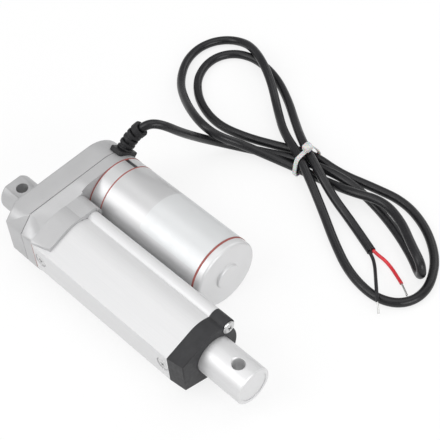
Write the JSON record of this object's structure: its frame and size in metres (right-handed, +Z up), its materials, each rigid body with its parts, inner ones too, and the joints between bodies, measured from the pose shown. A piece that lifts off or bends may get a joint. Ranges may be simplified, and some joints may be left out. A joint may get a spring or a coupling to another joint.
{
  "type": "electric linear actuator",
  "caption": "Electric linear actuator with a parallel motor, shown retracted: cross holes at both ends, die cast gear housing, aluminium profile, round push rod and a tied two core cable.",
  "frame": {"origin": "centre of the rear cross hole, on the rod's axis", "axes": "+X along the rod, towards its free end; +Y from the rod to the motor; +Z up, along both cross holes. The housing lies on the plane z = -18.9 mm."},
  "size_m": [0.2086, 0.1867, 0.0487],
  "materials": {
    "cast_housing": "satin silver paint on die cast metal",
    "profile": "satin anodised extrusion",
    "black_cap": "moulded, fine grain",
    "motor_paint": "smooth silver",
    "ring_metal": "smooth silver",
    "red_gasket": "thin flat seal",
    "gear_steel": "machined",
    "gear_plastic": "natural acetal",
    "bush_bronze": "sintered bush",
    "screw_steel": "rolled and ground",
    "bearing_steel": "ground",
    "rod_metal": "satin anodised tube",
    "nut_plastic": "natural acetal",
    "seal_rubber": "wiper",
    "core_steel": "stacked laminations",
    "copper": "enamelled copper",
    "magnet": "ferrite",
    "screw_chrome": "nickel plated",
    "board": "glass fibre board",
    "switch_plastic": "moulded",
    "boot_rubber": "moulded",
    "cable_jacket": "smooth, slightly glossy jacket",
    "red_insulation": "smooth",
    "black_insulation": "smooth",
    "tinned_copper": "tinned strands",
    "tie_plastic": "natural nylon"
  },
  "bodies": {
    "housing": {"rear_cover": "cast_housing", "gear_case": "cast_housing", "tube_profile": "profile", "front_cap": "black_cap", "motor_shell": "motor_paint", "motor_end_cap": "motor_paint", "ring_gear": "ring_metal", "gasket_case": "red_gasket", "gasket_ring": "red_gasket", "gasket_end": "red_gasket", "idler_pin": "gear_steel", "brush_plate": "gear_plastic", "screw_rear_bush": "bush_bronze", "output_rear_bush": "bush_bronze", "output_front_bush": "bush_bronze", "motor_front_bush": "bush_bronze", "motor_rear_bush": "bush_bronze", "rod_guide": "bush_bronze", "bearing_outer_ring": "bearing_steel", "bearing_retainer": "bearing_steel", "bearing_balls": "bearing_steel", "rod_seal": "seal_rubber", "brushes": "copper", "motor_magnets": "magnet", "housing_screws": "screw_chrome", "cap_screws": "screw_chrome", "side_screws": "screw_chrome", "switch_board": "board", "limit_switches": "switch_plastic", "strain_relief": "boot_rubber", "cable": "cable_jacket", "red_lead": "red_insulation", "black_lead": "black_insulation", "lead_tips": "tinned_copper", "cable_tie": "tie_plastic"},
    "armature": {"armature_shaft": "screw_steel", "armature_core": "core_steel", "armature_windings": "copper", "commutator": "copper", "sun_gear": "gear_steel"},
    "carrier": {"planet_carrier": "gear_steel", "planet_pins": "gear_steel", "output_pinion": "gear_steel"},
    "planet_1": {"planet_gear_1": "gear_plastic"},
    "planet_2": {"planet_gear_2": "gear_plastic"},
    "planet_3": {"planet_gear_3": "gear_plastic"},
    "idler": {"idler_gear": "gear_plastic"},
    "screw": {"lead_screw": "screw_steel", "screw_gear": "gear_steel", "bearing_inner_ring": "bearing_steel"},
    "rod": {"push_tube": "rod_metal", "rod_end": "rod_metal", "lead_nut": "nut_plastic"}
  },
  "joints": [
    {"name": "rod_slide", "type": "slide", "parent": "housing", "child": "rod", "axis": [1, 0, 0], "range_m": [0, 0.05]},
    {"name": "motor_spin", "type": "hinge", "parent": "housing", "child": "armature", "pos_m": [0.07, 0.0357, 0], "axis": [-1, 0, 0], "range_deg": [0, 36000]},
    {"name": "carrier_spin", "type": "hinge", "parent": "housing", "child": "carrier", "pos_m": [0.03, 0.0357, 0], "axis": [-1, 0, 0], "range_deg": [0, 9000]},
    {"name": "planet_1_spin", "type": "hinge", "parent": "carrier", "child": "planet_1", "pos_m": [0.036, 0.0357, 0.0096], "axis": [-1, 0, 0], "range_deg": [-27000, 0]},
    {"name": "planet_2_spin", "type": "hinge", "parent": "carrier", "child": "planet_2", "pos_m": [0.036, 0.02739, -0.0048], "axis": [-1, 0, 0], "range_deg": [-27000, 0]},
    {"name": "planet_3_spin", "type": "hinge", "parent": "carrier", "child": "planet_3", "pos_m": [0.036, 0.04401, -0.0048], "axis": [-1, 0, 0], "range_deg": [-27000, 0]},
    {"name": "idler_spin", "type": "hinge", "parent": "housing", "child": "idler", "pos_m": [0.02, 0.01987, 0.00231], "axis": [-1, 0, 0], "range_deg": [-9000, 0]},
    {"name": "screw_spin", "type": "hinge", "parent": "housing", "child": "screw", "pos_m": [0.06, 0, 0], "axis": [-1, 0, 0], "range_deg": [0, 6000]}
  ],
  "couplings": [
    {"joint": "motor_spin", "follows": "rod_slide", "rad_per_m": 12566},
    {"joint": "carrier_spin", "follows": "rod_slide", "rad_per_m": 3141.6},
    {"joint": "planet_1_spin", "follows": "rod_slide", "rad_per_m": -9424.8},
    {"joint": "planet_2_spin", "follows": "rod_slide", "rad_per_m": -9424.8},
    {"joint": "planet_3_spin", "follows": "rod_slide", "rad_per_m": -9424.8},
    {"joint": "idler_spin", "follows": "rod_slide", "rad_per_m": -3141.6},
    {"joint": "screw_spin", "follows": "rod_slide", "rad_per_m": 2094.4}
  ]
}
